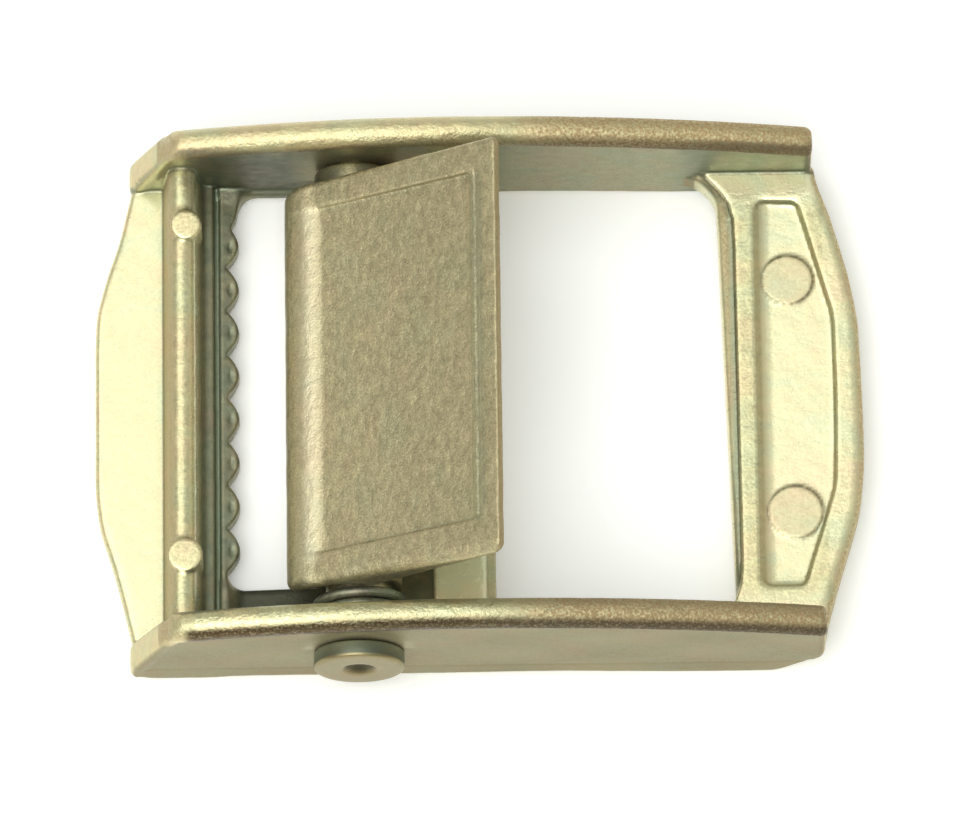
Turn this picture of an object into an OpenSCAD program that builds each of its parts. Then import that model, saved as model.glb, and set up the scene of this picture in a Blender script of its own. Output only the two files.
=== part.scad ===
// Cam buckle for 25 mm webbing: a cast frame, a cast cam lever that turns on a riveted
// steel pin, and the torsion spring that lifts the lever. Millimetres.
// X runs along the strap, from the toothed anvil (-X) to the sewn-strap bar (+X).
// Y runs along the pin. Z is up, and Z = 0 is the surface that the frame rests on.
// The origin is at the middle of the footprint. The lever is drawn as its spring holds it.

/* [Frame] */
// Width over the two cheeks
body_w = 32; // [31.6:0.1:33]
// Length from the lip to the end of the strap bar
body_l = 46; // [45.6:0.1:46.6]
// Thickness of each cheek's wall
cheek_t = 1.45; // [1.35:0.05:1.5]
// Radius of the round edge along the top of each cheek
bead_r = 0.8; // [0.75:0.01:0.85]
// Height of the middle of that edge at its highest place
bead_z = 9.4; // [9.2:0.1:9.8]
// Radius of the arch that the edge follows
arch_r = 87; // [80:1:100]

/* [Anvil] */
// Height of the rounded rib beside the lip
rib_h = 5.4; // [5:0.1:5.8]
// Thickness of that rib
rib_t = 1.6; // [1.5:0.1:1.7]
// Spacing of the teeth along the slot
tooth_pitch = 2.76; // [2.7:0.01:2.8]
// Number of teeth
tooth_count = 9; // [8:1:9]
// Depth of the hollow between two teeth
tooth_depth = 0.8; // [0.6:0.1:0.9]

/* [Strap bar] */
// Top face of the bar plate
bar_top = 3.45; // [3.3:0.05:3.6]
// Thickness of the bar plate
bar_t = 2.4; // [2.2:0.1:2.5]
// Depth of the hollow in its top
hollow_d = 0.45; // [0.3:0.05:0.6]

/* [Lever] */
// Width of the thumb plate
lever_w = 25.4; // [25:0.1:25.6]
// Slope of the thumb plate
lever_tilt = 32.3; // [32:0.1:33]
// Thickness at the thumb end
tip_t = 1; // [0.8:0.1:1.1]
// Depth of the panel in the thumb plate
panel_d = 0.3; // [0.2:0.05:0.4]

/* [Pin and spring] */
// Place of the pin's axis along the strap
pin_x = -7.35; // [-7.4:0.01:-7.3]
// Height of the pin's axis
pin_z = 4.35; // [4.3:0.01:4.4]
// Radius of the pin
pin_r = 1.5; // [1.4:0.05:1.55]
// Radius of the pin's heads
head_r = 2.7; // [2.6:0.05:2.8]
// How far a head stands off its cheek
head_t = 0.85; // [0.7:0.05:0.9]
// Diameter of the spring's wire
wire_d = 0.65; // [0.5:0.05:0.65]

/* [Hidden] */
$fn = 64;
eps = 0.05;
over = 1;

passivated_zinc = "#b9b48c";
bright_steel = "#cfccae";
spring_steel = "#8f8b74";

// Cheeks: outer faces, wall faces and ends
half_w = body_w / 2;
half_l = body_l / 2;
bead_y = half_w - bead_r;
wall_out = half_w - 0.1;
wall_in = wall_out - cheek_t;
cheek_left = -20.6;
cheek_right = 20.4;
bead_left = -18.1;
arch_x = 0.4;
corner_t = 1.8;
corner_top = 7.6;
corner_low = 1.7;

// Underside of the cheeks: two feet with a raised stretch between them
foot_left = [-19.6, -16.2];
foot_right = [13, 17.4];
raised_z = 0.6;
raised = [-14.6, 4];
heel_up = [[18.7, 1.1], [20.1, 2], [cheek_right, 3]];

// Lip and anvil, from left to right
lip_top = 1.7;
lip_bottom = 0.35;
lip_flat = 4.9;
lip_corner = -20.9;
rib_x = -17.75;
lug_r = 0.92;
lug_top = rib_h + 0.06;
lug_x = -17.6;
lug_y = [10.7, -10.1];
step_x = -15.95;
step_z = 2.4;
comb_back = -15.45;
comb_tip = -14.45;
comb_z = 1.95;
comb_low = 0.6;
first_tooth = 13.7;
tooth_r = 1.55;

// Slot beside the anvil, the low shelf at its near end, and the cross bar
slot_far = 14.15;
slot_near = -11;
// The shelf is wider beside the cross bar, from shelf_step on
shelf_step = -4.9;
shelf_wide = -9.25;
shelf_top = 1.4;
cross_left = -2.9;
cross_right = 0.85;
cross_top = 4.6;
cross_low = 2.3;
cross_round = 0.6;

// Strap bar at the right, its window corner, outline and hollow
window_right = 14.75;
window_corner = 2;
plate_left = 15.5;
round_r = 0.95;
round_top = 2.95;
bar_low = bar_top - bar_t;
bar_flat = 5.3;
bar_mid = [21.2, 11.9];
bar_end = [20.4, 14.3];
hollow_y = 12.1;
hollow_left = 16.75;
hollow_right = 21.2;
hollow_flat = 5.1;
hollow_end = 19.15;
pad_x = 18.65;
pad_y = [7.7, -7];
pad_r = 1.55;
pad_h = 0.12;

// Lever: its top face runs through tip_x, tip_z at the lever's tilt
tip_x = 0.82;
tip_z = 14.4;
nose_x = -11.5;
nose_r = 2.2;
taper = 8.7;
hub_r = 2.6;
bore_r = pin_r + 0.05;
far_boss_r = 2.45;
near_boss_r = 1.95;
boss_gap = 0.2;
boss_end = wall_in - boss_gap;
panel_y = 10.8;
panel_left = -9.4;
panel_border = 0.95;
cup_r = 3.05;
cup_d = 0.75;
under_x = -7.18;
web_low = [-6.35, 3.35];
cam_low = [-9.25, 1.95];
cam_drop = 0.5;
ridge_n = 3;
ridge_h = 0.35;
groove_r = 0.6;
heel_x = cross_left - 0.15;
heel_z = [3.45, 4.5];
heel_back_z = 5.1;
heel_y = [-8.9, 12.2];

// Pin: holes in the cheeks, heads, and the dimple of the near head
cheek_bore_r = pin_r + 0.04;
seat_gap = 0.02;
dimple_r = 0.85;
dimple_d = 0.4;

// Spring: a coil round the near boss, and a leg along the shelf
coil_r = near_boss_r + wire_d / 2 + 0.17;
coil_turns = 2;
coil_pitch = wire_d + 0.08;
coil_near = -(wall_in - 0.12 - wire_d / 2);
leg_x = -3.6;
wire_sides = 10;
turn_steps = 28;

// Height of the lever's top face above a place x
function face_z(x) = tip_z + (x - tip_x) * tan(lever_tilt);

// Carries a shape drawn in X and Z along Y, from y0 to y1
module along_y(y0, y1) {
    translate([0, y1, 0]) rotate([90, 0, 0]) linear_extrude(y1 - y0) children();
}

// A box from its two corners
module block(low, high) {
    translate(low) cube(high - low);
}

// A round bar along Y
module rod_y(x, z, r, y0, y1) {
    translate([x, y1, z]) rotate([90, 0, 0]) cylinder(r = r, h = y1 - y0);
}

module cheek_outline() {
    polygon(concat(
        [[cheek_left, raised_z], [foot_left[0], 0], [foot_left[1], 0], [raised[0], raised_z],
         [raised[1], raised_z], [foot_right[0], 0], [foot_right[1], 0]],
        heel_up,
        [[cheek_right, bead_z], [bead_left, bead_z], [bead_left, corner_top], [cheek_left, corner_low]]));
}

// One cheek on the +Y side: wall, arched round edge and the thicker sloped left corner
module cheek() {
    intersection() {
        along_y(wall_in, wall_out) cheek_outline();
        rod_y(arch_x, bead_z - arch_r, arch_r, wall_in, wall_out, $fn = 360);
    }
    intersection() {
        translate([arch_x, bead_y, bead_z - arch_r]) rotate([90, 0, 0])
            rotate_extrude($fn = 360) translate([arch_r, 0]) circle(r = bead_r);
        block([bead_left, 0, bead_z / 2], [cheek_right, half_w + eps, bead_z + 2 * bead_r]);
    }
    intersection() {
        along_y(half_w - corner_t, wall_out) cheek_outline();
        block([cheek_left, 0, 0], [bead_left + eps, half_w, corner_top]);
    }
}

module lip() {
    translate([0, 0, lip_bottom]) linear_extrude(lip_top - lip_bottom)
        polygon([[rib_x, wall_in + eps], [lip_corner, wall_in + eps], [-half_l, lip_flat],
                 [-half_l, -lip_flat], [lip_corner, -wall_in - eps], [rib_x, -wall_in - eps]]);
}

// Rib with its two lugs, the step beside it and the toothed comb along the slot
module anvil() {
    y = wall_in + eps;
    block([rib_x - rib_t / 2, -y, 0], [rib_x + rib_t / 2, y, rib_h - rib_t / 2]);
    rod_y(rib_x, rib_h - rib_t / 2, rib_t / 2, -y, y);
    for (lug = lug_y)
        translate([lug_x, lug, lip_bottom]) cylinder(r = lug_r, h = lug_top - lip_bottom);
    block([rib_x, -y, 0], [step_x, y, step_z]);
    difference() {
        block([step_x - eps, -y, comb_low], [comb_tip, y, comb_z]);
        for (i = [0 : tooth_count - 1])
            translate([comb_tip - tooth_depth + tooth_r, first_tooth - (i + 0.5) * tooth_pitch, 0])
                cylinder(r = tooth_r, h = comb_z + over);
    }
    block([rib_x, -y, 0], [comb_back, y, comb_z]);
}

// Shelf at the near end of the slot and narrow end face at its far end
module slot_ends() {
    block([comb_tip - tooth_depth, -wall_in - eps, raised_z], [cross_left + eps, slot_near, shelf_top]);
    block([shelf_step, -wall_in - eps, raised_z], [cross_left + eps, shelf_wide, shelf_top]);
    block([comb_tip - tooth_depth, slot_far, raised_z], [cross_left + eps, wall_in + eps, shelf_top]);
}

module cross_bar() {
    y = wall_in + eps;
    block([cross_left, -y, cross_low], [cross_right - cross_round, y, cross_top]);
    block([cross_left, -y, cross_low + cross_round], [cross_right, y, cross_top - cross_round]);
    for (z = [cross_low + cross_round, cross_top - cross_round])
        rod_y(cross_right - cross_round, z, cross_round, -y, y);
}

module strap_bar_outline() {
    polygon([[window_right - window_corner, -wall_in - eps], [cheek_right, -wall_in - eps],
             [bar_end[0], -bar_end[1]], [bar_mid[0], -bar_mid[1]], [half_l, -bar_flat],
             [half_l, bar_flat], [bar_mid[0], bar_mid[1]], [bar_end[0], bar_end[1]],
             [cheek_right, wall_in + eps], [window_right - window_corner, wall_in + eps]]);
}

// End plate that the sewn strap loops round: a round bar along the window, one step lower
// than the plate, then the plate with the hollow in its top and two low pads
module strap_bar() {
    corner_y = wall_in - window_corner;
    difference() {
        translate([0, 0, bar_low]) linear_extrude(bar_t) strap_bar_outline();
        translate([0, 0, bar_low - over]) {
            block([0, -corner_y, 0], [plate_left, corner_y, bar_t + 2 * over]);
            for (side = [-1, 1])
                translate([window_right - window_corner, side * corner_y, 0])
                    cylinder(r = window_corner, h = bar_t + 2 * over);
        }
        translate([0, 0, bar_top - hollow_d]) linear_extrude(hollow_d + over)
            polygon([[hollow_left, -hollow_y], [hollow_end, -hollow_y], [hollow_right, -hollow_flat],
                     [hollow_right, hollow_flat], [hollow_end, hollow_y], [hollow_left, hollow_y]]);
    }
    rod_y(window_right + round_r, round_top - round_r, round_r, -corner_y - eps, corner_y + eps);
    for (y = pad_y)
        translate([pad_x, y, bar_top - 2 * hollow_d]) cylinder(r = pad_r, h = hollow_d + pad_h);
}

module frame() {
    color(passivated_zinc) difference() {
        union() {
            cheek();
            mirror([0, 1, 0]) cheek();
            lip();
            anvil();
            slot_ends();
            cross_bar();
            strap_bar();
        }
        rod_y(pin_x, pin_z, cheek_bore_r, -half_w - over, half_w + over);
    }
}

// Side view of the lever: thumb plate, round nose, hub, ridged cam face
module lever_outline() {
    nose_c = [nose_x + nose_r, face_z(nose_x + nose_r) - nose_r / cos(lever_tilt)];
    tip_low = [tip_x + tip_t * sin(lever_tilt), tip_z - tip_t * cos(lever_tilt)];
    under_z = tip_low[1] - (tip_low[0] - under_x) * tan(lever_tilt + taper);
    cam_top = [nose_x, nose_c[1] - cam_drop];
    step = (cam_low - cam_top) / ridge_n;
    out = [step[1], -step[0]] / norm(step) * ridge_h;
    difference() {
        union() {
            translate([pin_x, pin_z]) circle(r = hub_r);
            translate(nose_c) circle(r = nose_r);
            polygon(concat(
                [[tip_x, tip_z], tip_low, [under_x, under_z], web_low, cam_low],
                [cam_top, [nose_x, nose_c[1]], nose_c + nose_r * [-sin(lever_tilt), cos(lever_tilt)]]));
        }
        for (i = [0 : ridge_n - 1])
            translate(cam_top + (i + 0.5) * step + out) circle(r = groove_r);
    }
}

// Stop on the back of the hub: it meets the cross bar when the lever is up
module lever_heel() {
    along_y(heel_y[0], heel_y[1])
        polygon([[pin_x, heel_z[0]], [heel_x, heel_z[0]], [heel_x, heel_z[1]], [pin_x, heel_back_z]]);
}

module lever_panel() {
    length = (tip_x - panel_left) / cos(lever_tilt) - panel_border;
    translate([panel_left, 0, face_z(panel_left)]) rotate([0, -lever_tilt, 0])
        block([0, -panel_y, -panel_d], [length, panel_y, over]);
}

module cam_lever() {
    color(passivated_zinc) difference() {
        union() {
            difference() {
                union() {
                    along_y(-lever_w / 2, lever_w / 2) lever_outline();
                    lever_heel();
                }
                lever_panel();
                rod_y(pin_x, pin_z, cup_r, -lever_w, -lever_w / 2 + cup_d);
            }
            rod_y(pin_x, pin_z, far_boss_r, 0, boss_end);
            rod_y(pin_x, pin_z, near_boss_r, -boss_end, 0);
        }
        rod_y(pin_x, pin_z, bore_r, -half_w, half_w);
    }
}

module pivot_pin() {
    face = wall_out + seat_gap;
    color(bright_steel) difference() {
        union() {
            rod_y(pin_x, pin_z, pin_r, -face - head_t, face + head_t);
            rod_y(pin_x, pin_z, head_r, face, face + head_t);
            rod_y(pin_x, pin_z, head_r, -face - head_t, -face);
        }
        translate([pin_x, -face - head_t + dimple_d, pin_z]) rotate([90, 0, 0])
            cylinder(r1 = dimple_r / 2, r2 = dimple_r, h = dimple_d);
    }
}

// A point of the wire's middle line: a turns round from the foot of the coil
function coil_point(a) = [pin_x + coil_r * sin(-a * 360), coil_near + a * coil_pitch, pin_z - coil_r * cos(a * 360)];

// Middle line of the wire: the leg's end first, then the coil
wire_line = concat([[leg_x, coil_near, pin_z - coil_r]],
                   [for (i = [0 : coil_turns * turn_steps]) coil_point(i / turn_steps)]);

// Ring of the wire's skin round point i
function wire_ring(i) =
    let (last = len(wire_line) - 1,
         run = wire_line[min(i + 1, last)] - wire_line[max(i - 1, 0)],
         ahead = run / norm(run),
         side = cross(ahead, cross([0, 1, 0], ahead)),
         s = side / norm(side),
         t = cross(ahead, s))
    [for (k = [0 : wire_sides - 1])
        wire_line[i] + wire_d / 2 * (cos(k * 360 / wire_sides) * s + sin(k * 360 / wire_sides) * t)];

module return_spring() {
    rings = len(wire_line);
    points = [for (i = [0 : rings - 1]) each wire_ring(i)];
    sides = [for (i = [0 : rings - 2], k = [0 : wire_sides - 1])
        let (k2 = (k + 1) % wire_sides)
        [i * wire_sides + k, i * wire_sides + k2, (i + 1) * wire_sides + k2, (i + 1) * wire_sides + k]];
    start = [for (k = [wire_sides - 1 : -1 : 0]) k];
    end = [for (k = [0 : wire_sides - 1]) (rings - 1) * wire_sides + k];
    color(spring_steel) polyhedron(points, concat(sides, [start, end]), convexity = 4);
}

frame();
cam_lever();
pivot_pin();
return_spring();
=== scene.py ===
import bpy
import numpy as np
from mathutils import Matrix, Vector


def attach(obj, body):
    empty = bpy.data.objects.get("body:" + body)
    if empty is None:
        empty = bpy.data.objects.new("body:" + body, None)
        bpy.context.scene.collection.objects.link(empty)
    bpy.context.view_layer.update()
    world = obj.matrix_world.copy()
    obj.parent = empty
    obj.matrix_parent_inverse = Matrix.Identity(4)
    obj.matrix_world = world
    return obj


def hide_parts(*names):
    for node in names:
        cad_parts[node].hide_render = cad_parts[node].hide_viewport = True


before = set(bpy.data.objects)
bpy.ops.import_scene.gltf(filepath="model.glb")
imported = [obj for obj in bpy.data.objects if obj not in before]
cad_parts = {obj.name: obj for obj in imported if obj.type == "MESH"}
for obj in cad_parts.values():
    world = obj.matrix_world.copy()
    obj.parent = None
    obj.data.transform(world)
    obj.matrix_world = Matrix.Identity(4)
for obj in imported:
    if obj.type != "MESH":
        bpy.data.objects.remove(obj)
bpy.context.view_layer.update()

# Frame. One zinc die casting: two cheeks joined by the lip and the toothed anvil, the cross bar and the strap
# bar. It comes out of the die with small fillets everywhere, is tumbled and gets a yellow passivated finish.


def join(a, b, r):
    """Two shapes as one, with a fillet of radius r between them. a and b are the distances to the two shapes,
    negative inside: the larger of r and the lesser distance, less the length of (r - a, r - b) cut at 0."""
    return np.maximum(r, np.minimum(a, b)) - np.hypot(np.maximum(r - a, 0), np.maximum(r - b, 0))


def meet(a, b, r):
    """What two shapes have in common, with the edge between them rounded to radius r."""
    return -join(-a, -b, r)


def less(a, b, r):
    """Shape a with shape b cut out of it, and the new edges rounded to radius r."""
    return -join(-a, b, r)


def band(v, low, high):
    """Distance to the space between two parallel planes."""
    return np.maximum(low - v, v - high)


def eased(corners, reach):
    """An outline whose corners are turned into curves: from reach before a corner P to reach after it, the
    curve is P + (1 - s)^2 a + s^2 b, where a and b lead back and on along the two sides, and s runs 0 to 1."""
    corners = np.array(corners, float)
    back = np.roll(corners, 1, axis=0) - corners
    on = np.roll(corners, -1, axis=0) - corners
    reach = np.broadcast_to(np.array(reach, float), len(corners))
    s = np.linspace(0, 1, 4)[None, :, None]
    lead = []
    for side in (back, on):
        length = np.linalg.norm(side, axis=1)
        lead.append((side / length[:, None] * np.minimum(reach, 0.48 * length)[:, None])[:, None])
    return (corners[:, None] + (1 - s) ** 2 * lead[0] + s ** 2 * lead[1]).reshape(-1, 2)


def outline(u, v, corners):
    """Distance from (u, v) to a closed outline, negative inside: the least distance to any side, its sign set
    by whether an odd number of sides lie straight to one side of the point."""
    u, v = np.broadcast_arrays(u, v)
    near = np.full(u.shape, 1e9)
    inside = np.zeros(u.shape, bool)
    for (u0, v0), (u1, v1) in zip(corners, np.roll(corners, -1, axis=0)):
        du, dv = u1 - u0, v1 - v0
        if du * du + dv * dv < 1e-12:
            continue
        t = np.clip(((u - u0) * du + (v - v0) * dv) / (du * du + dv * dv), 0, 1)
        near = np.minimum(near, np.hypot(u - u0 - t * du, v - v0 - t * dv))
        if dv:
            inside ^= ((v0 > v) != (v1 > v)) & (u < u0 + (v - v0) * du / dv)
    return np.where(inside, -near, near)


def slope(shape, p, h):
    """How the distance rises along each axis at the points p, from steps of h both ways."""
    steps = []
    for axis in range(3):
        ahead, behind = [c.copy() for c in p], [c.copy() for c in p]
        ahead[axis] += h
        behind[axis] -= h
        steps.append((shape(*ahead) - shape(*behind)) / (2 * h))
    return np.array(steps)


def skin(shape, xs, ys, zs):
    """Vertices, outward directions and quads of the surface where shape is 0, on a grid of cells. A solid with
    fillets on every side can't be one profile along a path, so the castings are made this way. Each cell that the
    surface passes has one vertex: the mean of where its edges are crossed, then moved down the slope onto the
    surface. Each grid edge that is crossed gets one quad between the four cells round it, facing outwards."""
    g = shape(xs[:, None, None], ys[None, :, None], zs[None, None, :])
    inside = g < 0
    n = np.array(g.shape) - 1
    filled = sum(inside[i:i + n[0], j:j + n[1], k:k + n[2]].astype(np.int8)
                 for i in (0, 1) for j in (0, 1) for k in (0, 1))
    cells = np.nonzero((filled > 0) & (filled < 8))
    number = np.full(n, -1, np.int64)
    number[cells] = np.arange(len(cells[0]))
    lines = (xs, ys, zs)
    total, crossed = np.zeros((3, len(cells[0]))), np.zeros(len(cells[0]))
    for axis in range(3):
        for a in (0, 1):
            for b in (0, 1):
                start = np.insert([a, b], axis, 0)
                end = np.insert([a, b], axis, 1)
                i0 = [c + s for c, s in zip(cells, start)]
                i1 = [c + s for c, s in zip(cells, end)]
                g0, g1 = g[tuple(i0)], g[tuple(i1)]
                cut = (g0 < 0) != (g1 < 0)
                t = np.where(cut, g0 / np.where(cut, g0 - g1, 1), 0)
                for k in range(3):
                    total[k] += cut * (lines[k][i0[k]] + t * (lines[k][i1[k]] - lines[k][i0[k]]))
                crossed += cut
    p = total / crossed
    room = np.min([np.diff(line)[c] for line, c in zip(lines, cells)], axis=0) * 0.45
    first = p.copy()
    for _ in range(3):
        up = slope(shape, p, 0.012)
        step = -shape(*p) * up / np.maximum((up ** 2).sum(0), 0.2)
        p = first + np.clip(p + step - first, -room, room)
    up = slope(shape, p, 0.03)
    quads = []
    for axis in range(3):
        u, v = (axis + 1) % 3, (axis + 2) % 3
        here = [slice(None)] * 3
        there = [slice(None)] * 3
        here[axis], there[axis] = slice(0, -1), slice(1, None)
        here[u] = here[v] = there[u] = there[v] = slice(1, -1)
        out = inside[tuple(here)] & ~inside[tuple(there)]
        back = ~inside[tuple(here)] & inside[tuple(there)]
        for hit, turn in ((out, ((0, 0), (1, 0), (1, 1), (0, 1))), (back, ((0, 0), (0, 1), (1, 1), (1, 0)))):
            at = list(np.nonzero(hit))
            ring = []
            for du, dv in turn:
                cell = list(at)
                cell[u], cell[v] = at[u] + du, at[v] + dv
                ring.append(number[tuple(cell)])
            quads.append(np.stack(ring, axis=1))
    return p, up / np.maximum(np.linalg.norm(up, axis=0), 1e-6), np.concatenate(quads)


def hollowness(shape, p, up, reach):
    """How far the places round a surface point close it in, from 0 on an open face to about 1 in a groove: at a
    height of reach over the point, how much nearer the surface is than that height."""
    return np.clip(1 - shape(*(p + up * reach)) / reach, 0, 1)


def piece(name, points, *faces, **marks):
    """A mesh object from points in millimetres, 3 rows of them, and from arrays of faces, each row of which holds
    the corner numbers of one face. Each mark becomes a value on every vertex, which the material reads by its
    name."""
    mesh = bpy.data.meshes.new(name)
    corners = np.concatenate([rows.ravel() for rows in faces])
    sides = np.concatenate([np.full(len(rows), rows.shape[1]) for rows in faces])
    mesh.vertices.add(points.shape[1])
    mesh.vertices.foreach_set("co", (points.T * 0.001).astype(np.float32).ravel())
    mesh.loops.add(len(corners))
    mesh.loops.foreach_set("vertex_index", corners.astype(np.int32))
    mesh.polygons.add(len(sides))
    mesh.polygons.foreach_set("loop_start", (np.cumsum(sides) - sides).astype(np.int32))
    for mark, values in marks.items():
        mesh.attributes.new(mark, "FLOAT", "POINT").data.foreach_set("value", values.astype(np.float32))
    mesh.update(calc_edges=True)
    mesh.validate()
    mesh.shade_smooth()
    thing = bpy.data.objects.new(name, mesh)
    bpy.context.scene.collection.objects.link(thing)
    return thing


def stops(*spans):
    """Grid lines from (end, spacing) pairs after a starting value, evenly spaced in each span."""
    line = [np.array([spans[0]], float)]
    for end, gap in spans[1:]:
        start = line[-1][-1]
        line.append(np.linspace(start, end, max(1, round((end - start) / gap)) + 1)[1:])
    return np.concatenate(line)


def ease(v, low, high):
    """0 below low, 1 above high, and 3 t^2 - 2 t^3 between them."""
    t = np.clip((v - low) / (high - low), 0, 1)
    return t * t * (3 - 2 * t)


def discs(x, y, places):
    """Distance to the rim of the nearest of some upright discs, each given as (X, Y, radius)."""
    return np.min([np.hypot(x - disc_x, y - disc_y) - r for disc_x, disc_y, r in places], axis=0)


# All sizes are in millimetres. The arch is a circle in the plane of a cheek, and the bead is the round edge that
# follows it. The inner and outer faces of a cheek are given at its foot, at the line that the die leaves there.
# The lugs on the rib and the pads on the strap bar are (X, Y, radius). The last two lines are heights.
ARCH_R, ARCH_X, BEAD_Z, BEAD_Y, BEAD_R = 87.0, 0.4, 9.42, 15.23, 0.9
PIN_X, PIN_Z, BORE_R = -7.35, 4.35, 1.54
WALL_IN, WALL_OUT, FOOT_LINE_Z = 14.45, 15.97, 1.75
RIB_X, RIB_Z, RIB_R = -17.76, 4.6, 0.8
LUGS = (-17.52, 10.84, 0.94), (-17.64, -10.02, 1.06)
PADS = (18.58, 7.67, 1.52), (18.78, -7.05, 1.62)
TOOTH_PITCH, FIRST_TIP, COMB_X, TOOTH_DEPTH = 2.76, -8.52, -14.44, 0.76
LIP_TOP, LUG_TOP, STEP_TOP, COMB_TOP, SHELF_TOP = 1.7, 5.56, 2.45, 1.85, 1.4
CROSS_FOOT, CROSS_TOP, BAR_FOOT, BAR_TOP, HOLLOW_FLOOR, PAD_TOP = 2.3, 4.6, 1.05, 3.45, 3.0, 3.11

cheek_side = eased([(-20.9, 0.5), (-19.8, 0), (-16.2, 0), (-14.6, 0.3), (-1, 0.35), (4, 0.5), (12, 0), (17.4, 0),
                    (18.7, 1.1), (20.1, 2), (20.5, 3), (20.5, 13), (-16.2, 13), (-20.9, 1.9)],
                   [0.4, 0.3, 0.8, 1, 2, 2, 3, 0.5, 0.4, 0.4, 0.5, 0, 0, 0.5])
lip_plan = eased([(-17, 15), (-20.8, 14.8), (-21.6, 11.3), (-22.45, 8.7), (-23, 6.6), (-23.1, 4.6),
                  (-23.1, -4.8), (-22.85, -7), (-22.05, -9.5), (-21.35, -12.3), (-20.8, -14.8), (-17, -15)],
                 [0, 0.5, 0.8, 0.8, 0.6, 0.8, 0.8, 0.8, 0.8, 0.8, 0.5, 0])
bar_outer = eased([(12, -15), (20.4, -15), (20.7, -13.5), (21.2, -11.7), (22.15, -8.6), (22.7, -6.7), (22.95, -4.2),
                   (22.97, -1.5), (22.8, 5), (22.25, 8.1), (21.2, 11.9), (20.5, 13.8), (20.3, 15), (12, 15)],
                  [0, 0.3, 0.5, 0.8, 0.8, 0.8, 0.8, 1, 1, 0.8, 0.8, 0.5, 0.3, 0])
bar_inner = [(15.5, -10.2), (15.42, -11.5), (15.1, -12.5), (14.6, -13.3), (13.7, -14.3), (13, -15), (24, -15),
             (24, 15), (13, 15), (13.7, 14.3), (14.6, 13.3), (15.1, 12.5), (15.35, 11.5), (15.4, 10.2)]
hollow_plan = eased([(16.3, -11.7), (19.25, -11.7), (21.2, -5.5), (21.35, 0), (21.25, 5.4), (19.25, 12.55),
                     (16.35, 12.65)],
                    [0.35, 0.35, 0.6, 2, 0.6, 0.4, 0.35])


def from_tip(y):
    """How far y is from the tip of the nearest tooth, the remainder of y over the spacing of the teeth."""
    return (y - FIRST_TIP + TOOTH_PITCH / 2) % TOOTH_PITCH - TOOTH_PITCH / 2


def tooth_edge(y):
    """Where the comb ends at y. A tooth falls back from its tip as the power 1.75 of the distance from the tip, so
    tips are blunt and the notches between them are sharp. The last notch is shallow, and past it the comb is
    straight. Before the first tip it falls back once and stays there."""
    depth = TOOTH_DEPTH - 0.45 * ease(y, 11.6, 12.4)
    edge = COMB_X - depth * (np.abs(from_tip(y)) / (TOOTH_PITCH / 2)) ** 1.75
    before = COMB_X - TOOTH_DEPTH * np.clip((FIRST_TIP - y) / (TOOTH_PITCH / 2), 0, 1) ** 1.75
    return np.where(y > 13.6, COMB_X, np.where(y < FIRST_TIP, before, edge))


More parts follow.
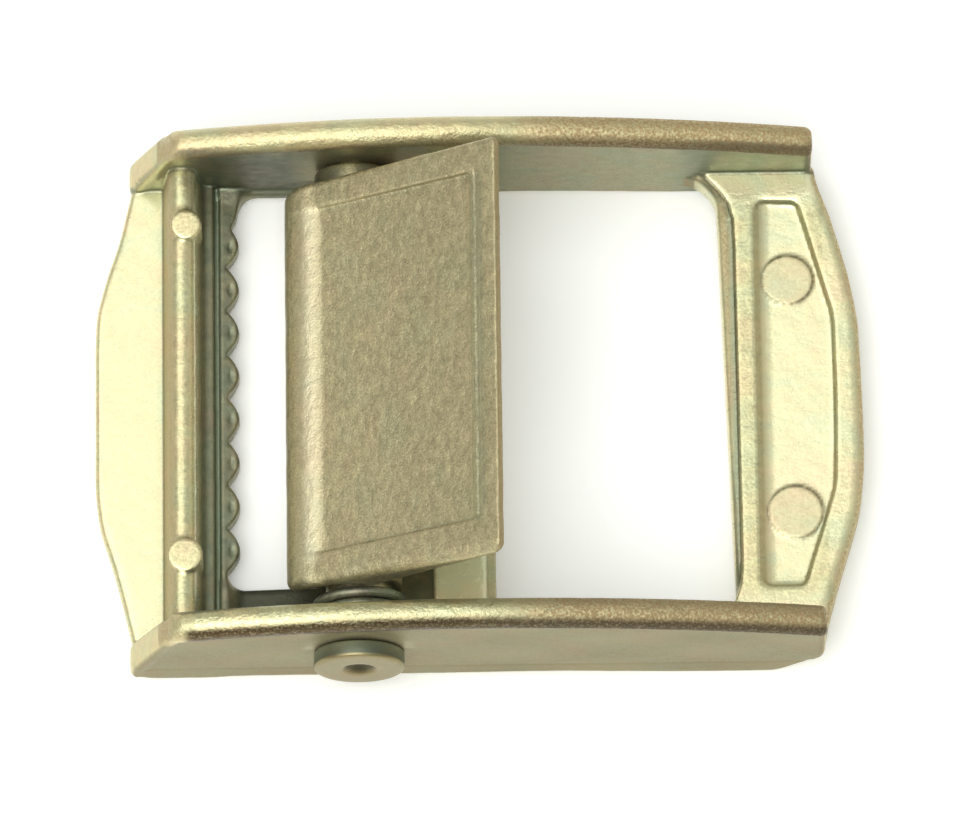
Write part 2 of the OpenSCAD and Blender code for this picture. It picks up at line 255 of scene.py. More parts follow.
def frame_casting(x, y, z):
    """Distance in millimetres to the casting's surface. A cheek is its side outline cut by the arch, between two
    planes, with a bead along the arch. The anvil, the shelf, the cross bar and the strap bar are outlines between
    two planes too, and all are joined with fillets. A slow wave of sines keeps the faces from being quite flat."""
    ay = np.abs(y)
    sag = np.where(y > 0, 0.02 * np.clip(x + 6, 0, 30), 0)
    over_arch = np.hypot(x - ARCH_X, z + sag - BEAD_Z + ARCH_R) - ARCH_R
    lean = 0.022 * np.clip(z - 2, 0, 8)
    outer = WALL_OUT - 0.03 * np.clip(z - FOOT_LINE_Z, 0, 8) + 0.09 * np.clip(FOOT_LINE_Z - z, 0, 1)
    outer = outer - 0.05 * np.exp(-((z - FOOT_LINE_Z) / 0.13) ** 2)
    right_end = x - np.where(y > 0, 20.15, 20.4)
    side = meet(outline(x, z, cheek_side), right_end, 0.35)
    wall = meet(meet(side, over_arch, 0.1), band(ay, WALL_IN + lean, outer), 0.3)
    bead = meet(np.hypot(over_arch, ay - np.where(y > 0, BEAD_Y - 0.09, BEAD_Y)) - BEAD_R, side, 0.45)
    gusset = meet(meet(side, over_arch + 0.35, 0.5), band(ay, WALL_IN + lean, 16.08), 0.4)
    gusset = meet(gusset, x + 17.5 - 0.42 * (z - 8), 0.5)
    cheek = join(join(wall, gusset, 0.5), bead, 0.06)

    lip = meet(outline(x, y, lip_plan), band(z, 0.35, LIP_TOP), 0.36)
    flank = np.abs(x - RIB_X) - RIB_R - 0.15 * (RIB_Z - z)
    rib = meet(np.where(z > RIB_Z, np.hypot(x - RIB_X, z - RIB_Z) - RIB_R, flank), -z, 0.2)
    lugs = meet(discs(x, y, LUGS), band(z, 0.5, LUG_TOP), 0.12)
    step = meet(band(x, -16.9, -15.93), band(z, 0.5, STEP_TOP - 0.1 * (x + 16.52)), 0.13)
    bed = meet(band(x, -17.75, -15.7), band(z, 0, 1.75), 0.1)
    comb = meet(band(x, -15.62, tooth_edge(y)), band(z, 0.6, COMB_TOP - 0.12 * np.clip(x + 15.5, 0, 2)), 0.12)
    dent = np.sqrt(((x + 14.93) / 0.16) ** 2 + ((from_tip(y) + 0.1) / 0.3) ** 2 + ((z - 1.8) / 0.12) ** 2) - 1
    comb = less(comb, np.where(np.abs(y) < 11.6, dent * 0.14, 1), 0.12)
    foot = meet(band(x, -17.75, -15.45), band(z, 0, 1.68), 0.1)
    anvil = np.minimum(join(np.minimum(step, bed), foot, 0.1), comb)
    anvil = join(join(anvil, rib, 0.35), lip, 0.1)
    anvil = join(anvil, lugs, 0.05)

    shelf = meet(band(x, -15.3, -2.4), band(z, 0.6, SHELF_TOP), 0.2)
    near_edge = y + 10.93 - 0.03 * (x + 14) + 1.5 * (1 - ease(x, -5.2, -4.6)) - 1.5
    shelf = np.minimum(meet(shelf, near_edge, 0.3), meet(shelf, 14.15 - y, 0.3))
    chamfer = 0.78 * (x - 0.25) + 0.62 * (z - CROSS_TOP)
    cross = meet(meet(band(x, -2.88, 0.85), band(z, CROSS_FOOT, CROSS_TOP), 0.14), chamfer, 0.1)

    plate = meet(meet(outline(x, y, bar_outer), z - BAR_TOP, 0.66), BAR_FOOT - z, 0.3)
    plate = meet(plate, outline(x, y, bar_inner), 0.2)
    incline = -0.83 * (x - 16.62) - 0.55 * (z - BAR_TOP)
    hollow = meet(meet(outline(x, y, hollow_plan), HOLLOW_FLOOR - z, 0.22), incline, 0.5)
    plate = less(plate, hollow, 0.2)
    plate = join(plate, meet(discs(x, y, PADS), band(z, 1.5, PAD_TOP), 0.05), 0.03)
    corner_x, corner_y = x - 12.48 + 0.0285 * y, ay - 12.15
    past_corner = np.hypot(np.maximum(corner_x, 0), np.maximum(corner_y, 0))
    window = past_corner + np.minimum(np.maximum(corner_x, corner_y), 0) - 2.3
    strip = np.maximum(BAR_FOOT - z, z - 2.95 - 0.12 * (x - 13))
    bar = join(plate, meet(meet(-window, strip, 0.33), band(x, 11, 16.2), 0.05), 0.08)

    inside = join(join(anvil, shelf, 1.1), join(cross, bar, 0.1), 0.1)
    inside = np.maximum(inside, ay - 15.2)
    solid = join(cheek, inside, 0.07)
    wave = 0.005 * np.sin(1.1 * x + 0.6 * y) * np.sin(0.8 * y - 0.9 * z + 0.8)
    wave = wave + 0.003 * np.sin(3.1 * x - 1.1 * z) * np.sin(2.7 * y + z)
    return less(solid, np.hypot(x - PIN_X, z - PIN_Z) - BORE_R, 0.05) + wave


# The grid is finest over the comb, the cheeks and the strap bar with its pads, and just fine enough elsewhere.
coarse = 1
xs = stops(-23.4, (-22.4, 0.17 * coarse), (-19.3, 0.3 * coarse), (-13.9, 0.14 * coarse), (-10.2, 0.4), (-4.9, 0.35),
           (-3.4, 0.25), (1.3, 0.2 * coarse), (12, 0.5), (23.2, 0.165 * coarse))
ys = stops(-16.4, (-13.9, 0.14 * coarse), (-11.2, 0.28 * coarse), (-4.9, 0.2 * coarse), (5.6, 0.29 * coarse),
           (12, 0.2 * coarse), (13.9, 0.28 * coarse), (16.4, 0.14 * coarse))
zs = stops(-0.2, (1, 0.2), (10.6, 0.15 * coarse))
points, up, quads = skin(frame_casting, xs, ys, zs)
x, y, z = points
ay = np.abs(y)
between = ay < 14.4
# 1 where the surface faces the middle of the frame along the pin, -1 where it faces away
inward = -up[1] * np.sign(y)


def strongest(*marks):
    """The largest of some marks at each vertex."""
    return np.max(marks, axis=0)


# Marks, 0 to 1 at each vertex: where the finish stays dull (pocket), greenish (groove), brown, dark, or smooth
# (polish, partly a polished finish and partly painted light), where tumbling has worn it tan or paler (edge),
# and how coarse the skin is (grit). Much of the brown and most of the dark is painted shade.
# The rounded edge along the arch: its angle runs in degrees from the top of the bead towards -Y. Its -Y flank is
# painted brown shade, dark as the dim room it mirrors towards the viewer would make it, and its right half is worn
# tan.
over_arch = np.hypot(x - ARCH_X, z - BEAD_Z + ARCH_R) - ARCH_R
bead_angle = np.degrees(np.arctan2(np.where(y < 0, ay - BEAD_Y, BEAD_Y - ay), over_arch))
bead = ease(over_arch, -0.7, -0.4) * (ay > 14.2)
flank_shade_start = 17 - 10 * ease(x, -12.5, -9.5) + 19 * ease(x, -2, 6)
flank_shade_end = flank_shade_start + 32 + 12 * ease(x, -12.5, -9.5) * (1 - ease(x, 0, 6))
near_flank_shade = ease(bead_angle, flank_shade_start, flank_shade_end)
far_flank_shade = (0.5 + 0.15 * ease(x, 0, 6)) * ease(bead_angle, 55 - 15 * ease(x, 0, 6), 90)
flank_shade_depth = 0.6 + 0.2 * ease(x, -13, -4)
bead_flank_shade = np.where(y < 0, near_flank_shade, far_flank_shade) * (1 - ease(-over_arch, flank_shade_depth, flank_shade_depth + 0.45))
bead_flank_shade *= (z > 3) * (ay > 14.2) * ease(x, -17.8, -17.2)
# Painted sheen: the far bead's back flank is made paler, as the bright far side mirrored in it lights it.
far_flank_sheen = bead * (y > 0) * ease(-bead_angle, 0, 25) * (1 - ease(x, 0, 5))
worn_bead = bead * np.where(y < 0, 0.85 * ease(x, -2, 6.5), 0.25 + 0.5 * ease(x, 0.5, 6.5))
# Painted shade that dims the near bead's highlight, fading in from x = -13 to -5.
bead_highlight_shade = bead * (y < 0) * ease(x, -13, -5)

# The cheeks' faces, and the deep part of the frame between them, from the step to the cross bar.
pocket = ease(x, -16.9, -16.55) * (1 - ease(x, -2.9, -2.7)) * (1 - ease(z, 2.7, 3.4)) * (ay < 14.6)
inner_wall = (ay > 14.2) * (inward > 0.6) * (1 - ease(z, 8.2, 9))
inner_wall *= 1 - 0.25 * ease(x, -6, 2) + 0.15 * ease(x, 12, 14)
inner_wall *= (0.5 + 0.5 * ease(x, -18.4, -17)) * (1 - 0.5 * ease(x, -12, -9) * (1 - ease(x, -3, 1)))
far_shade = inner_wall * (y > 0) * (1 - ease(x, -12, -9)) * ease(x, -17, -15.5) * (1 - ease(z, 5.5, 8.7))
right_wall = inner_wall * ease(x, 11, 13)
wall_end = (ay > 14.2) * (x < -17.5) * (inward > 0.6) * (1 - ease(z, 3, 9))
# Painted shade on the fillet along the foot of the cheeks' inner faces, darkening the highlight that fillet catches.
wall_foot_shade = ease(ay, 14.25, 14.42) * (ay < 14.62) * (z < np.where(x < -18.6, 1.95, 5.4))
wall_foot_shade *= 1 - ease(np.abs(up[1]), 0.85, 0.97)
outer_wall = ease(ay, 15.5, 15.65) * ease(np.abs(up[1]), 0.6, 0.9) * (1 - ease(over_arch, -0.9, -0.5))
outer_wall *= 0.85 + 0.06 * np.sin(0.5 * x + 1) * np.sin(1.3 * z)
from_pin = np.hypot(x - PIN_X, z - PIN_Z)
# Painted light: the outer face just above the rivet head is made paler and not darkened, taking out the shade the
# head casts there.
over_head_light = (y < -15.5) * (z > PIN_Z + 0.5) * (z < 8.3) * (1 - ease(from_pin, 2.9, 3.7))
# The shelf is dull, and on its left part it is also painted dark: painted shade from the near cheek.
shelf = (y < -8.8) * (y > -14.7) * ease(x, -14.9, -14.4) * (x < -2.7) * (z < 2.2)
shelf_left = 1 - ease(x, -5.6, -5)
# The cross bar: dull on its chamfer, and paler on its top, painted light where the lever above shades it.
cross_top = (x > -2.85) * (x < 1) * between * (z > 2.4)

# The lip, the rib and the comb.
lip_top = (z < 2) * (x < -18.7) * ease(up[2], 0.5, 0.9)
lip_end = (ay > 14.3) * (x < -17) * ease(up[2], 0.1, 0.4)
rib_left = ease(-up[0], 0.45, 0.85) * (x > -19.2) * (x < -18) * (z > 1.8)
rib_foot = (x > -19.2) * (x < -18.6) * (z > 1.72) * (z < 2.4) * between
# Painted light: the rib's right flank is made paler in the shaded corner by the step.
rib_corner_light = (x > -17.6) * (x < -16.85) * (z > 2.7) * ease(up[0], 0.3, 0.6) * between
slot_gap = (x > -15.98) * (x < -15.57) * (z < 2.3) * (z > 1) * between
comb_edge = (x > -15.98) * (x < -15.2) * (z < 2.3)

# The strap bar: the strip beside the window, the hollow with its pads, and the plate round them.
inner_strip = (z < 3.2) * ease(x, 11, 12.5) * (1 - ease(x, 15.3, 15.7)) * between
strip_face = inner_strip * ease(-up[0], 0.3, 0.7)
strip_foot = 1 - ease(np.abs(outline(x, y, bar_inner) - 0.14), 0.12, 0.32)
strip_foot *= (z < 3.3) * (z > 2.6) * (x > 12.5) * (x < 16) * between
hollow_side = (z > 3.03) * (z < 3.43) * (x > 16.4) * (x < 21.6) * (y < 13) * (y > -12.1) * ease(-up[2], -0.85, -0.5)
hollow_end = hollow_side * (up[1] < -0.3) * (y > 0)
hollow_floor = (z < 3.2) * (x > 16.3) * ease(up[2], 0.7, 0.98) * (z > 2.85)
pad_ring = sum(np.exp(-((np.hypot(x - pad_x, y - pad_y) - r - 0.03) / 0.09) ** 2) for pad_x, pad_y, r in PADS)
pad_ring *= (z < 3.2) * (z > 2.9) * (x > 16)
pad_top = (z < 3.2) * (z > 3.06) * (x > 16.4) * (up[2] > 0.8)
bar_side = (x > 12) * (ay < 14.9) * ease(up[0], 0.35, 0.8)
bar_end = (x > 12.6) * (z > 3.3) * ease(ay, 11.5, 13.6) * (ay < 14.35)
bar_rim = ease(x, 19.7, 20.1) * (ay > 14.3)
plate_right = (x > 20.8) * (z > 3.2) * (ay < 13)

# All over: fillets are closed in, edges stand free, and the skin is smooth on open faces.
fillet = (hollowness(frame_casting, points, up, 0.9) - 0.25) * 0.3
fillet = np.maximum(hollowness(frame_casting, points, up, 0.35) - 0.06, fillet) * 1.7 * (1 - bar_end)
edge = np.clip((frame_casting(*(points - up * 0.3)) + 0.3) / 0.3, 0, 1) * (1 - 0.8 * bead) * (1 - comb_edge)
smooth = np.maximum(lip_top, (np.abs(up[1]) > 0.8) * (ay > 15) * (1 - bead))
casting = piece(
    "frame_casting", points, quads,
    pocket=strongest(pocket, inner_wall, 0.68 * outer_wall, shelf * (0.5 + 0.5 * shelf_left), 0.4 * rib_left,
                     0.5 * cross_top * ease(up[0], 0.4, 0.7)),
    groove=np.clip(strongest(fillet, 0.6 * hollow_side * (up[0] < 0.3), wall_foot_shade, slot_gap, hollow_end, right_wall,
                             strip_foot, 0.4 * inner_strip - 0.4 * strip_face, 0.5 * rib_foot, 0.6 * wall_end), 0, 1),
    # brown: painted shade on the beads' flanks, the brown rings round the pads and a brown tone on the outer faces.
    brown=strongest(bead_flank_shade, 0.5 * pad_ring, 0.32 * outer_wall),
    tan=strongest(worn_bead, 0.55 * inner_strip - 0.5 * strip_face, 0.6 * bar_side, 0.5 * rib_left, 0.4 * bar_rim,
                  0.5 * hollow_side * (up[0] > 0.3), 0.25 * pad_top, 0.25 * outer_wall, 0.25 * lip_end),
    # dark: painted shade on the shelf's left part, the far cheek's inner face, the near bead's highlight and the
    # fillet at the foot of the walls; darker lines at the hollow's far end and the strip's foot; a darker tone on the
    # outer faces and on the inner faces by the strap bar.
    dark=strongest(0.85 * shelf * shelf_left, 0.5 * far_shade, 0.2 * bead_highlight_shade, 0.1 * outer_wall * (1 - over_head_light),
                   0.14 * inner_wall * ease(x, 11.5, 13.5), 0.3 * hollow_end, 0.25 * strip_foot,
                   0.45 * wall_foot_shade * ((x < -15.6) | (x > 12))),
    # polish: a polished finish on the lip, the hollow's floor and other open faces, and painted light on the far
    # bead's back flank, the cross bar's top, the rib's right flank and the outer face above the rivet head.
    polish=strongest(0.45 * lip_top, 0.6 * hollow_floor, cross_top * ease(up[2], 0.7, 0.95), bar_end, 0.5 * far_flank_sheen,
                     0.7 * strip_face, 0.45 * rib_corner_light, 0.35 * plate_right, 0.8 * over_head_light),
    edge=edge, grit=0.34 + 0.66 * bead - 0.28 * smooth - 0.15 * hollow_floor)
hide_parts("frame")
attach(casting, "frame")


TAN, BROWN, DARK = (0.38, 0.275, 0.135, 1), (0.10, 0.068, 0.032, 1), (0.04, 0.042, 0.028, 1)
METALLIC = 0.82


def passivated(name, metal, rough, grain, relief=0.0, dull_metal=(0.19, 0.195, 0.13), drift=1.0, speckle=0.5,
               streaks=(1, 1, 1), film=0.3):
    """Passivated zinc or steel. Colour: the metal's, speckled by fine and wide noise, then mixed with a paler one
    by the polish mark, partly a polished finish and partly painted light, and with the dull one by the
    pocket mark, which on the lever's bosses and the rivet's head is painted shade, then turned greenish or pinkish by
    slow noise as far as drift says. The groove, edge, tan, brown and dark marks mix in their tints last, tan and
    brown in specks; most of the dark and much of the brown are painted shade. Roughness: rough, plus wide noise, more
    where it is tan or dull, less by the polish mark. Tan places and those of that mark are less metallic by
    film. Height for the bump, in millimetres of relief by the grit mark: half the fine noise plus noise four times as
    wide, and grain is the size of the fine noise."""
    material = bpy.data.materials.new(name)
    material.use_nodes = True
    nodes, links = material.node_tree.nodes, material.node_tree.links
    shader = nodes["Principled BSDF"]

    def node(kind, **values):
        made = nodes.new("ShaderNode" + kind)
        for key, value in values.items():
            if hasattr(made, key) and key not in made.inputs:
                setattr(made, key, value)
            else:
                put(made.inputs[key], value)
        return made

    def put(socket, value):
        if isinstance(value, bpy.types.NodeSocket):
            links.new(value, socket)
        elif hasattr(value, "outputs"):
            links.new(value.outputs[0], socket)
        else:
            socket.default_value = value

    def math(op, a, b=0.0, clamp=False):
        made = nodes.new("ShaderNodeMath")
        made.operation, made.use_clamp = op, clamp
        put(made.inputs[0], a)
        put(made.inputs[1], b)
        return made.outputs[0]

    def scaled(value, by, plus):
        return math("ADD", math("MULTIPLY", value, by), plus)

    def blend(fac, a, b, kind="MIX"):
        made = nodes.new("ShaderNodeMix")
        made.data_type, made.blend_type = "RGBA", kind
        put(made.inputs[0], fac)
        put(made.inputs[6], a)
        put(made.inputs[7], b)
        return made.outputs[2]

    def mark(kind):
        return node("Attribute", attribute_name=kind).outputs["Fac"]

    def amount(kind, full):
        return math("MULTIPLY", mark(kind), full, True)

    def tinted(colour, red, green, blue):
        return colour[0] * red, colour[1] * green, colour[2] * blue, 1

    place = node("TexCoord").outputs["Object"]
    stretched = node("Mapping", Vector=place, Scale=streaks).outputs[0]
    fine = node("TexNoise", Vector=place, Scale=1000 / grain, Detail=2.0, Roughness=0.6).outputs["Fac"]
    wide = node("TexNoise", Vector=stretched, Scale=1000 / grain / 4, Detail=2.0, Roughness=0.5).outputs["Fac"]
    slow = node("TexNoise", Vector=stretched, Scale=420.0, Detail=3.0, Roughness=0.55, Distortion=0.4).outputs["Fac"]
    tint = node("ValToRGB", Fac=slow)
    ramp = tint.color_ramp
    ramp.elements[0].position, ramp.elements[1].position = 0.36, 0.66
    ramp.elements[0].color = (1 - 0.12 * drift, 1, 1 + 0.07 * drift, 1)
    ramp.elements[1].color = (1 + 0.08 * drift, 1 - 0.05 * drift, 1, 1)
    middle = ramp.elements.new(0.5)
    middle.color = (1, 1, 1, 1)
    spots = math("MULTIPLY", scaled(fine, speckle * 2, 1 - speckle), scaled(wide, speckle, 1 - speckle / 2))
    spotted = node("CombineColor", Red=spots, Green=spots, Blue=spots).outputs[0]
    colour = blend(1.0, (*metal, 1), spotted, "MULTIPLY")
    colour = blend(amount("polish", 0.9), colour, tinted(metal, 1.4, 1.43, 1.6))
    dull = math("MULTIPLY", mark("pocket"), scaled(wide, 0.4, 0.72), True)
    colour = blend(dull, colour, (*dull_metal, 1))
    colour = blend(1.0, colour, tint.outputs["Color"], "MULTIPLY")
    colour = blend(amount("groove", 0.6), colour, tinted(dull_metal, 1.1, 1.35, 1.4))
    colour = blend(amount("edge", 0.35), colour, tinted(metal, 1.12, 1.05, 1.0))
    worn = math("MULTIPLY", mark("tan"), scaled(fine, 4.0, -1.0), True)
    colour = blend(worn, colour, TAN)
    colour = blend(math("MULTIPLY", mark("brown"), scaled(fine, 1.6, 0.2), True), colour, BROWN)
    colour = blend(amount("dark", 1.0), colour, DARK)
    put(shader.inputs["Base Color"], colour)
    bare = math("MULTIPLY", math("ADD", worn, mark("polish"), True), film)
    put(shader.inputs["Metallic"], math("SUBTRACT", METALLIC, bare))
    rougher = math("ADD", math("MULTIPLY", worn, 0.35), math("MULTIPLY", dull, 0.12))
    rougher = math("SUBTRACT", rougher, math("MULTIPLY", mark("polish"), 0.08))
    put(shader.inputs["Roughness"], scaled(wide, 0.16, math("ADD", rougher, rough - 0.08)))
    bump = node("Bump", Height=scaled(fine, 0.5, wide), Distance=relief * 0.001, Strength=mark("grit"))
    put(shader.inputs["Normal"], bump.outputs["Normal"])
    return material


casting.data.materials.append(passivated("cast_zinc", metal=(0.63, 0.575, 0.325), rough=0.33, grain=0.16,
                                         relief=0.085, drift=0.65, speckle=0.45, streaks=(0.8, 1.2, 1.2)))

# Cam lever. A zinc casting with a thumb plate, a sunk panel, a thick round nose and a hub with two bosses. It is
# tumbled like the frame but left coarser. It is worked out like the frame, in axes that lie along the thumb
# plate: u up the slope to the tip, y along the pin, w out of the plate.
TILT, TIP = np.radians(32.3), (0.82, 14.4)
NOSE_U, NOSE_R = -13.47, 2.2
HUB_R, NEAR_BOSS_R, FAR_BOSS_R, BOSS_Y = 2.6, 1.95, 2.45, 14.25
HALF_WIDTH, PANEL_U, PANEL_Y, PANEL_FLOOR = 12.68, (-15, -0.95), (-10.72, 10.98), -0.32
HEEL_X, HEEL_Y = -3.05, (-8.85, 12.2)

lever_side = eased([(1.08, 14.565), (1.38, 13.6), (-7.1, 6.2), (-6.35, 3.35), (-9.25, 1.95), (-11.5, 4.9),
                    (-11.45, 5.6), (-10.5, 7.1)],
                   [0.16, 0.3, 2.5, 0.5, 0.5, 0.4, 0.5, 0.5])


def across_slope(u, w):
    """X and Z of a place on the lever, from its axes."""
    return TIP[0] + u * np.cos(TILT) - w * np.sin(TILT), TIP[1] + u * np.sin(TILT) + w * np.cos(TILT)


def lever_casting(u, y, w):
    """Distance in millimetres to the lever's surface: the outline of its side, with three notches that grip the
    webbing, joined with the hub, the round nose, the heel and the bosses, all cut to length along the pin."""
    x, z = across_slope(u, w)
    hub = np.hypot(x - PIN_X, z - PIN_Z)
    slab = join(outline(x, z, lever_side), hub - HUB_R, 0.8)
    for notch in (0.5, 1.5, 2.5):
        notch_x, notch_z = -11.5 + notch * 0.75, 4.9 - notch * 0.9833
        slab = less(slab, np.hypot(x - notch_x + 0.28, z - notch_z + 0.21) - 0.6, 0.08)
    nose = np.hypot(u - NOSE_U, w + NOSE_R) - NOSE_R
    side = join(slab, nose, 0.06)
    half = HALF_WIDTH + 0.018 * np.clip(u + 15, 0, 15)
    near = half - 1.0 * ease(-w, 0.2, 3.2) * ease(-u, 9.5, 12.5)
    body = meet(meet(side, y - half, 0.35 + 0.3 * ease(-u, 12, 15)), -near - y, 0.75)
    floor = PANEL_FLOOR + 0.24 * ease(u, -1.9, -1.3) - 0.06 * np.exp(-((u + 1.12) / 0.15) ** 2)
    panel = meet(meet(band(u, *PANEL_U), band(y, *PANEL_Y), 0.3), floor - w, 0.15)
    body = less(body, meet(panel, -nose - 0.02, 0.12), 0.1)
    spring_cup = meet(hub - 3.05, y + 12.7 - 0.75, 0.1)
    body = less(body, spring_cup, 0.15)
    heel = meet(band(x, PIN_X, HEEL_X), band(z, 3.45, 4.5 + 0.14 * np.clip(HEEL_X - x, 0, 5)), 0.2)
    body = join(body, meet(heel, band(y, *HEEL_Y), 0.3), 0.2)
    far_boss = meet(hub - FAR_BOSS_R, band(y, 0, BOSS_Y), 0.2)
    near_boss = meet(hub - NEAR_BOSS_R, band(y, -BOSS_Y, 0), 0.2)
    body = join(body, np.minimum(far_boss, near_boss), 0.12)
    wave = 0.01 * np.sin(1.5 * u + 0.5 * y) * np.sin(1.1 * y + 0.4)
    wave = wave + 0.006 * np.sin(2.9 * u + 1.1) * np.sin(2.3 * y - 0.7 * u)
    return less(body, hub - 1.55, 0.08) + wave


us = stops(-16.2, (-12.8, 0.14 * coarse), (-2.2, 0.22 * coarse), (0.5, 0.12 * coarse))
vs = stops(-14.5, (-10.2, 0.14 * coarse), (10.4, 0.24 * coarse), (14.5, 0.14 * coarse))
ws = stops(-7.2, (-0.9, 0.2 * coarse), (0.2, 0.1 * coarse))
local, up, quads = skin(lever_casting, us, vs, ws)
u, y, w = local
x, z = across_slope(u, w)
ay = np.abs(y)

# Marks: dull under the plate; painted shade on the bosses, less of it along their tops, which leaves a painted
# highlight there; a painted highlight along the nose's crest and painted light on its front; painted shade darkening
# the plate towards the tip; tan at the tip's end face; greenish in the fillets and in the border between the panel
# and the tip.
fillet = np.maximum(hollowness(lever_casting, local, up, 0.3) * 1.2, hollowness(lever_casting, local, up, 0.8) * 0.8)
edge = np.clip((lever_casting(*(local - up * 0.3)) + 0.3) / 0.3, 0, 1)
under = (up[2] < 0.25) * (up[0] <= 0.6)
boss_shade = ease(ay, 12.8, 12.95) * (np.hypot(x - PIN_X, z - PIN_Z) < 2.9)
boss_shade *= 0.7 - 0.5 * np.exp(-((x - PIN_X + 0.3) / 0.5) ** 2)
nose_crest_highlight = np.exp(-((u + 13.05) / 0.55) ** 2) * (w > -1) * (1 - ease(ay, 10.7, 11.6))
nose_front_light = ease(-up[0], 0.5, 0.8) * (w > -4)
plate_falloff_shade = ease(u, -12, -4) * (up[2] > 0.5)
end_face = ease(up[0], 0.5, 0.9) * (u > -0.6)
tip_border = ease(u, -1.9, -1.4) * (1 - ease(u, -0.75, -0.5)) * (w > -0.5) * (1 - ease(ay, 10.6, 11.2))
lever = piece(
    "lever_casting", np.array([x, y, z]), quads,
    pocket=np.clip(0.45 * under + 0.8 * boss_shade, 0, 1), groove=np.clip(fillet + 0.45 * tip_border, 0, 1),
    tan=0.6 * end_face, dark=np.maximum(0.5 * boss_shade, 0.11 * plate_falloff_shade), polish=np.maximum(nose_crest_highlight, 0.9 * nose_front_light),
    edge=edge, grit=(1 - 0.5 * under) * (1 - boss_shade))
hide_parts("cam_lever")
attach(lever, "lever")
lever.data.materials.append(passivated("lever_zinc", metal=(0.485, 0.425, 0.25), rough=0.42, grain=0.12, relief=0.05,
                                       drift=0.3, speckle=0.6, streaks=(1.1, 0.75, 1.1), film=0.05))

# Pivot pin. A steel rivet, turned, pushed through both cheeks and the lever and headed over at the near end,
# where the tool leaves a dimple. It has the same thin yellow finish, brighter at the rims.
HEAD_NEAR, HEAD_FAR, HEAD_R, PIN_R = -17.0, 16.77, 2.7, 1.5


def tube(rings, sides):
    """The quads between rings of points that follow each other, with as many points in each ring as sides."""
    i, j = np.meshgrid(np.arange(rings - 1) * sides, np.arange(sides), indexing="ij")
    k = (j + 1) % sides
    return np.stack([i + j, i + k, i + sides + k, i + sides + j], -1).reshape(-1, 4)


def turned(profile, sides):
    """A profile of (distance along Y, radius) pairs carried round the pin's axis: each ring is the pair turned
    through evenly spaced angles. The first and last radius are 0 and become one point each."""
    profile = np.array(profile, float)
    turn = np.linspace(0, 2 * np.pi, sides, endpoint=False)
    y, r = profile[1:-1, 0][:, None], profile[1:-1, 1][:, None]
    rings = np.array([PIN_X + r * np.cos(turn), y + 0 * turn, PIN_Z + r * np.sin(turn)])
    n = len(profile) - 2
    points = np.concatenate([rings.reshape(3, -1), [[PIN_X, PIN_X], profile[[0, -1], 0], [PIN_Z, PIN_Z]]], axis=1)
    first, last = np.arange(sides), np.arange((n - 1) * sides, n * sides)
    caps = [np.stack([np.roll(first, -1), first, np.full(sides, n * sides)], 1),
            np.stack([last, np.roll(last, -1), np.full(sides, n * sides + 1)], 1)]
    return points, tube(n, sides), np.concatenate(caps)


dimple = [(0.62, 0), (0.61, 0.14), (0.56, 0.34), (0.44, 0.56), (0.27, 0.75), (0.12, 0.9), (0.03, 1.0), (0, 1.1)]
rim = [(0, 1.5), (0, 2.2), (0.012, 2.48), (0.03, 2.56), (0.07, 2.63), (0.12, 2.67), (0.18, 2.69), (0.26, HEAD_R)]
shank = [(-16.2, HEAD_R), (-16.05, 2.69), (-15.99, 2.66), (-15.98, 2.6), (-15.98, PIN_R), (-14.4, PIN_R),
         (14.4, PIN_R), (15.98, PIN_R), (15.98, 2.6), (15.99, 2.66), (16.05, HEAD_R), (16.57, HEAD_R), (16.68, 2.66),
         (16.75, 2.55), (HEAD_FAR, 2.4), (HEAD_FAR, 1.2), (HEAD_FAR, 0)]
points, quads, caps = turned([(HEAD_NEAR + depth, r) for depth, r in dimple + rim] + shank, 96)
out, reach = -points[1], np.hypot(points[0] - PIN_X, points[2] - PIN_Z)
# Painted shade: the dimple and the head's side are darkened, and the head's side is dull and teal, for the shade and
# dark reflections that fall there.
dimple_shade = (out > 15) * (1 - ease(reach, 0.7, 1.05))
head_side_shade = (reach > 2.6) * ease(out, 16.68, 16.76) * (out < 16.8)
rivet = piece("pivot_pin_rivet", points, quads, caps, pocket=0.7 * (reach > 2.62) * (out < 16.8),
              dark=np.maximum(0.85 * dimple_shade, 0.5 * head_side_shade))
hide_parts("pivot_pin")
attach(rivet, "frame")
rivet.data.materials.append(passivated("pin_steel", metal=(0.27, 0.23, 0.115), rough=0.36, grain=0.3,
                                       dull_metal=(0.26, 0.31, 0.235), drift=0.5, speckle=0.15))

# Return spring. Spring wire wound two turns round the lever's near boss, its free leg along the shelf of the
# frame. The wire is round and bright from drawing.
WIRE_R, WIRE_SIDES, COIL_R, COIL_Y, COIL_PITCH = 0.325, 20, 2.445, -14.005, 0.73
# The wire's middle line: the straight leg, then two turns of a helix, its angle and its place along Y in step.
turns = np.linspace(0, 2, 81)
angle = turns * 2 * np.pi
leg = np.array([np.linspace(-3.6, PIN_X + 0.15, 8), np.full(8, COIL_Y), np.full(8, PIN_Z - COIL_R)])
coil = np.array([PIN_X - COIL_R * np.sin(angle), COIL_Y + turns * COIL_PITCH, PIN_Z - COIL_R * np.cos(angle)])
line = np.concatenate([leg, coil], axis=1)
ahead = np.gradient(line, axis=1)
ahead /= np.linalg.norm(ahead, axis=0)
side = np.cross(ahead, [0, 1, 0], axisa=0, axisc=0)
side /= np.linalg.norm(side, axis=0)
third = np.cross(ahead, side, axis=0)
turn = np.linspace(0, 2 * np.pi, WIRE_SIDES, endpoint=False)
wire = line[:, :, None] + WIRE_R * (side[:, :, None] * np.cos(turn) + third[:, :, None] * np.sin(turn))
rings = line.shape[1]
last_ring = np.arange((rings - 1) * WIRE_SIDES, rings * WIRE_SIDES)
ends = np.array([np.arange(WIRE_SIDES)[::-1], last_ring])
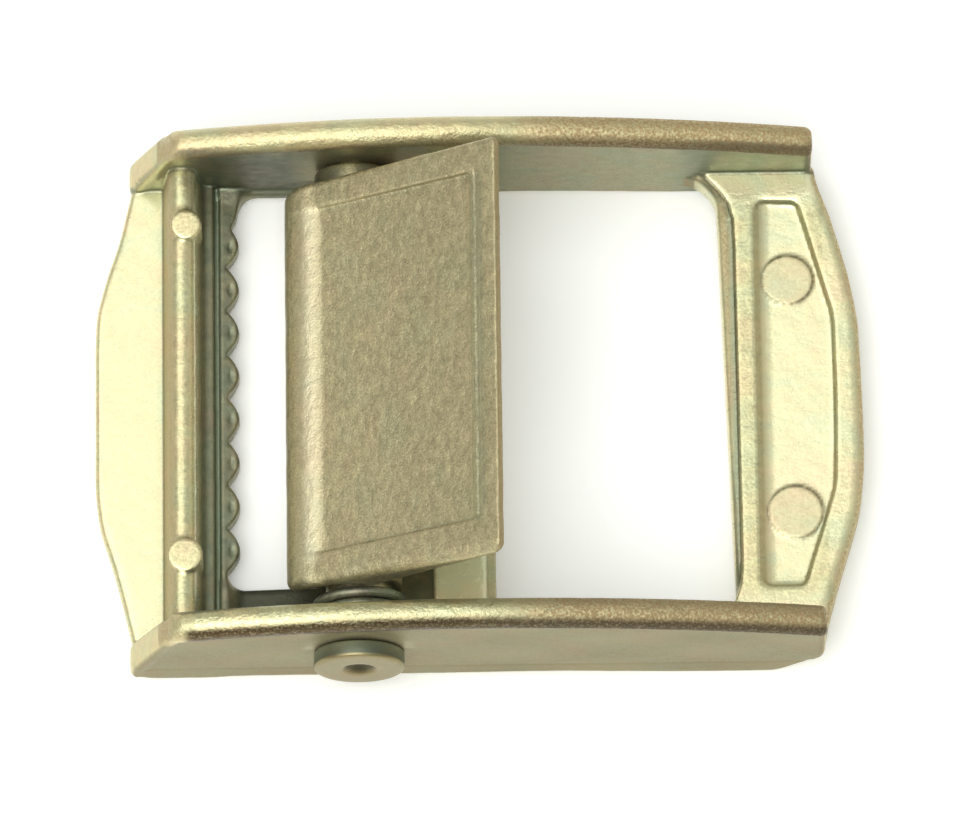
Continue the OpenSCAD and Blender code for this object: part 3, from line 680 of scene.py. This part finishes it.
spring = piece("spring_wire", wire.reshape(3, -1), tube(rings, WIRE_SIDES), ends)
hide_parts("return_spring")
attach(spring, "frame")
spring.data.materials.append(passivated("spring_wire", metal=(0.3, 0.32, 0.22), rough=0.5, grain=0.3))

# Floor, light and camera. A sheet of pale paper with painted light: it glows a little, which fills the shadows near
# the part, and is painted darker further out, where only the sides of the part mirror it; two soft lights to the left
# of straight overhead and towards the viewer, a dimmer warm surround, and the camera at the photograph's angle.
# Distances are in metres, but for the floor's half size.
FLOOR_HALF, PALE_TO, DARK_FROM = 600, 0.06, 0.25
floor_corners = FLOOR_HALF * np.array([[-1, 1, 1, -1], [-1, -1, 1, 1], [0, 0, 0, 0]])
floor = piece("floor", floor_corners, np.array([[0, 1, 2, 3]]))
paper = bpy.data.materials.new("pale_paper_glow_and_falloff")
paper.use_nodes = True
sheet = paper.node_tree.nodes["Principled BSDF"]
sheet.inputs["Roughness"].default_value = 0.9
tree = paper.node_tree
# Painted fall-off and glow: the paper's colour, and its glow of the same colour, fade from pale to dark grey from
# PALE_TO to DARK_FROM metres out from the middle.
reach = tree.nodes.new("ShaderNodeVectorMath")
reach.operation = "LENGTH"
tree.links.new(tree.nodes.new("ShaderNodeTexCoord").outputs["Object"], reach.inputs[0])
fade = tree.nodes.new("ShaderNodeMapRange")
fade.inputs["From Min"].default_value, fade.inputs["From Max"].default_value = PALE_TO, DARK_FROM
tree.links.new(reach.outputs["Value"], fade.inputs["Value"])
shade = tree.nodes.new("ShaderNodeValToRGB")
shade.color_ramp.elements[0].color, shade.color_ramp.elements[1].color = (0.92, 0.92, 0.9, 1), (0.4, 0.38, 0.34, 1)
tree.links.new(fade.outputs[0], shade.inputs[0])
tree.links.new(shade.outputs["Color"], sheet.inputs["Base Color"])
tree.links.new(shade.outputs["Color"], sheet.inputs["Emission Color"])
sheet.inputs["Emission Strength"].default_value = 0.2
floor.data.materials.append(paper)

world = bpy.data.worlds.new("studio")
world.use_nodes = True
tree = world.node_tree
where = tree.nodes.new("ShaderNodeTexCoord")
split = tree.nodes.new("ShaderNodeSeparateXYZ")
tree.links.new(where.outputs["Generated"], split.inputs[0])
sky = tree.nodes.new("ShaderNodeValToRGB")
sky.color_ramp.elements[0].position, sky.color_ramp.elements[1].position = 0.0, 0.9
sky.color_ramp.elements[0].color = (0.5, 0.46, 0.38, 1)
sky.color_ramp.elements[1].color = (0.7, 0.74, 0.72, 1)
middle = sky.color_ramp.elements.new(0.35)
middle.color = (0.42, 0.41, 0.36, 1)
tree.links.new(split.outputs["Z"], sky.inputs["Fac"])
tree.links.new(sky.outputs["Color"], tree.nodes["Background"].inputs["Color"])
tree.nodes["Background"].inputs["Strength"].default_value = 1.0
bpy.context.scene.world = world


def softbox(name, left, towards, distance, half_left, half_towards, radiance):
    """An area light that faces the part from a direction given as two angles in degrees from straight overhead, to
    the left and towards the viewer. Its half sizes are angles too, and its power is its brightness times pi times
    its area. Its sides lie along X and Y as seen from the part."""
    lamp = bpy.data.lights.new(name, "AREA")
    lamp.shape = "RECTANGLE"
    lamp.size = 2 * distance * np.tan(np.radians(half_left))
    lamp.size_y = 2 * distance * np.tan(np.radians(half_towards))
    lamp.energy = radiance * np.pi * lamp.size * lamp.size_y
    thing = bpy.data.objects.new(name, lamp)
    bpy.context.scene.collection.objects.link(thing)
    out = Vector((-np.tan(np.radians(left)), -np.tan(np.radians(towards)), 1)).normalized()
    across = (Vector((1, 0, 0)) - out * out.x).normalized()
    turn = Matrix((across, out.cross(across), out)).transposed().to_4x4()
    thing.matrix_world = Matrix.Translation(out * distance) @ turn


softbox("window_light", left=21, towards=14, distance=0.95, half_left=27, half_towards=40, radiance=1.35)
softbox("window_glow", left=13, towards=29, distance=0.85, half_left=19, half_towards=21, radiance=2.1)

ELEVATION, ROLL, DISTANCE = np.radians(71), np.radians(0.75), 0.640
AIM, LENS = Vector((0, 0.000127, 0)), 398.6
camera_data = bpy.data.cameras.new("photo_camera")
camera_data.sensor_width = 36
camera_data.lens = LENS
camera = bpy.data.objects.new("photo_camera", camera_data)
bpy.context.scene.collection.objects.link(camera)
back = Vector((0, -np.cos(ELEVATION), np.sin(ELEVATION)))
camera.location = AIM + back * DISTANCE
turn = (-back).to_track_quat("-Z", "Y").to_matrix().to_4x4() @ Matrix.Rotation(-ROLL, 4, "Z")
camera.rotation_mode = "QUATERNION"
camera.rotation_quaternion = turn.to_quaternion()
camera_data.clip_start, camera_data.clip_end = 0.05, 5
bpy.context.scene.camera = camera
bpy.context.scene.view_settings.view_transform = "Standard"
